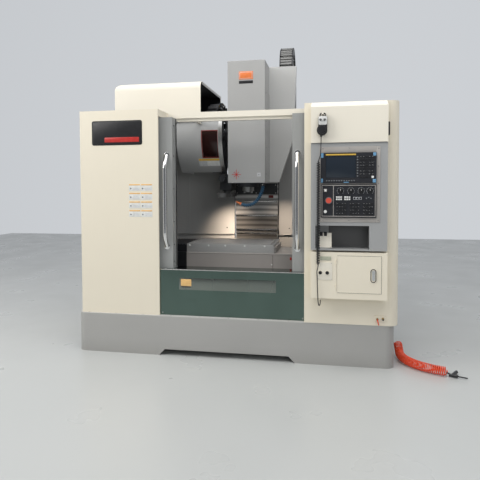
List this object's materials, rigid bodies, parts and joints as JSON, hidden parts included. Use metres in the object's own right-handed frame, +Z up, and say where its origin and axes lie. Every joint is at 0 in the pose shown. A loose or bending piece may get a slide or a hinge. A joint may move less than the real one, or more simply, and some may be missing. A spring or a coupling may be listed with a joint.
{
  "type": "vertical machining centre",
  "caption": "Vertical machining centre with open-topped splash enclosure, sliding doors, travelling table and head, disc tool magazine with change arm, and operator station.",
  "frame": {"origin": "centre of the bounding box's underside, without the blow gun's hose, on the floor", "axes": "+X to the operator's right, +Y into the machine, +Z up"},
  "size_m": [3.0563, 2.344, 2.7482],
  "materials": {
    "cream_sheet": "satin cream powder coat",
    "grey_sheet": "satin grey powder coat",
    "pan_grey": "textured dark grey paint",
    "machine_casting": "painted casting with ground ways",
    "dark_metal": "satin black paint",
    "ground_steel": "ground steel",
    "stainless": "brushed stainless sheet",
    "chrome": "polished",
    "pane": "clear safety glass",
    "amber_pane": "tinted plastic pane",
    "black_plastic": "fine matt texture",
    "panel_film": "printed membrane film",
    "red_plastic": "smooth gloss",
    "cord_rubber": "matt jacket",
    "hose_red": "translucent polyurethane",
    "hose_blue": "moulded segments",
    "brass": "plated"
  },
  "bodies": {
    "frame": {"base_pan": "pan_grey", "levelling_feet": "dark_metal", "bed": "machine_casting", "guide_rails": "ground_steel", "column": "machine_casting", "drive_motors": "dark_metal", "left_cover": "cream_sheet", "right_cover": "cream_sheet", "header_beam": "cream_sheet", "front_apron": "stainless", "chamber_liner": "grey_sheet", "magazine_hood": "cream_sheet", "magazine_guard": "grey_sheet", "magazine_window": "amber_pane", "atc_gearbox": "machine_casting", "z_cover_base": "stainless", "control_hood": "cream_sheet", "control_fascia": "grey_sheet", "display_unit": "panel_film", "operator_panel": "panel_film", "lower_box": "cream_sheet", "pendant_body": "black_plastic", "pendant_cord": "cord_rubber", "pendant_curl": "cord_rubber", "air_couplings": "brass", "air_coil": "hose_red", "air_gun": "black_plastic", "electrical_cabinet": "cream_sheet"},
    "left_door": {"left_door": "grey_sheet", "left_glass": "pane", "left_handle": "chrome"},
    "right_door": {"right_door": "grey_sheet", "right_glass": "pane", "right_handle": "chrome"},
    "saddle": {"saddle": "machine_casting"},
    "table": {"table": "ground_steel", "left_shield": "dark_metal", "right_shield": "stainless"},
    "x_slide_left": {"x_slide_left": "dark_metal"},
    "x_slide_right": {"x_slide_right": "stainless"},
    "head": {"head_casting": "dark_metal", "head_cover": "grey_sheet", "cable_housing": "grey_sheet", "z_cover_top": "stainless", "coolant_hose": "hose_blue"},
    "z_cover_upper": {"z_cover_upper": "stainless"},
    "z_cover_lower": {"z_cover_lower": "stainless"},
    "cable_chain": {"cable_chain": "black_plastic"},
    "spindle": {"spindle": "ground_steel"},
    "magazine_disc": {"magazine_disc": "black_plastic"},
    "change_arm": {"change_arm": "ground_steel"},
    "estop_button": {"estop_button": "red_plastic"},
    "mode_knob": {"mode_knob": "black_plastic"},
    "feed_knob": {"feed_knob": "black_plastic"},
    "speed_knob": {"speed_knob": "black_plastic"},
    "rapid_knob": {"rapid_knob": "black_plastic"},
    "handwheel": {"handwheel": "black_plastic"},
    "lower_box_door": {"lower_box_door": "cream_sheet"},
    "door_latch": {"door_latch": "chrome"},
    "electrical_door": {"electrical_door": "cream_sheet"}
  },
  "joints": [
    {"name": "left_door_slide", "type": "slide", "parent": "frame", "child": "left_door", "axis": [1, 0, 0], "range_m": [0, 0.485]},
    {"name": "right_door_slide", "type": "slide", "parent": "frame", "child": "right_door", "axis": [-1, 0, 0], "range_m": [0, 0.485]},
    {"name": "saddle_y", "type": "slide", "parent": "frame", "child": "saddle", "axis": [0, 1, 0], "range_m": [-0.14, 0.34]},
    {"name": "table_x", "type": "slide", "parent": "saddle", "child": "table", "axis": [1, 0, 0], "range_m": [-0.195, 0.405]},
    {"name": "x_slide_left_x", "type": "slide", "parent": "saddle", "child": "x_slide_left", "axis": [1, 0, 0], "range_m": [-0.0975, 0.2025]},
    {"name": "x_slide_right_x", "type": "slide", "parent": "saddle", "child": "x_slide_right", "axis": [1, 0, 0], "range_m": [-0.0975, 0.2025]},
    {"name": "head_z", "type": "slide", "parent": "frame", "child": "head", "axis": [0, 0, 1], "range_m": [-0.315, 0.15]},
    {"name": "z_cover_upper_z", "type": "slide", "parent": "frame", "child": "z_cover_upper", "axis": [0, 0, 1], "range_m": [-0.21, 0.1]},
    {"name": "z_cover_lower_z", "type": "slide", "parent": "frame", "child": "z_cover_lower", "axis": [0, 0, 1], "range_m": [-0.105, 0.05]},
    {"name": "cable_chain_z", "type": "slide", "parent": "frame", "child": "cable_chain", "axis": [0, 0, 1], "range_m": [-0.1575, 0.075]},
    {"name": "spindle_spin", "type": "hinge", "parent": "head", "child": "spindle", "pos_m": [0.03, -0.22, 1.42], "axis": [0, 0, 1], "continuous": true},
    {"name": "magazine_spin", "type": "hinge", "parent": "frame", "child": "magazine_disc", "pos_m": [-0.3, 0.145, 1.87], "axis": [1, 0, 0], "continuous": true},
    {"name": "arm_swing", "type": "hinge", "parent": "frame", "child": "change_arm", "pos_m": [-0.205, -0.06, 1.35], "axis": [0, 0, 1], "range_deg": [0, 180]},
    {"name": "estop_press", "type": "slide", "parent": "frame", "child": "estop_button", "axis": [0, 1, 0], "range_m": [0, 0.006], "stiffness_N_per_m": 400},
    {"name": "mode_turn", "type": "hinge", "parent": "frame", "child": "mode_knob", "pos_m": [0.869, -1.11, 1.341], "axis": [0, 1, 0], "range_deg": [-90, 90]},
    {"name": "feed_turn", "type": "hinge", "parent": "frame", "child": "feed_knob", "pos_m": [0.944, -1.11, 1.341], "axis": [0, 1, 0], "range_deg": [-135, 135]},
    {"name": "speed_turn", "type": "hinge", "parent": "frame", "child": "speed_knob", "pos_m": [1.018, -1.11, 1.341], "axis": [0, 1, 0], "range_deg": [-120, 120]},
    {"name": "rapid_turn", "type": "hinge", "parent": "frame", "child": "rapid_knob", "pos_m": [1.08, -1.11, 1.341], "axis": [0, 1, 0], "range_deg": [-60, 60]},
    {"name": "handwheel_turn", "type": "hinge", "parent": "frame", "child": "handwheel", "pos_m": [0.735, -1.145, 1.786], "axis": [0, 1, 0], "continuous": true},
    {"name": "lower_door_hinge", "type": "hinge", "parent": "frame", "child": "lower_box_door", "pos_m": [0.84, -1.1096, 0.72], "axis": [0, 0, -1], "range_deg": [0, 105]},
    {"name": "latch_turn", "type": "hinge", "parent": "lower_box_door", "child": "door_latch", "pos_m": [1.107, -1.118, 0.748], "axis": [0, 1, 0], "range_deg": [-90, 0]},
    {"name": "electrical_door_hinge", "type": "hinge", "parent": "frame", "child": "electrical_door", "pos_m": [0.414, 1.146, 1], "axis": [0, 0, 1], "range_deg": [0, 110]}
  ],
  "couplings": [
    {"joint": "x_slide_left_x", "follows": "table_x", "ratio": 0.5},
    {"joint": "x_slide_right_x", "follows": "table_x", "ratio": 0.5},
    {"joint": "z_cover_upper_z", "follows": "head_z", "ratio": 0.66667},
    {"joint": "z_cover_lower_z", "follows": "head_z", "ratio": 0.33333},
    {"joint": "cable_chain_z", "follows": "head_z", "ratio": 0.5}
  ]
}
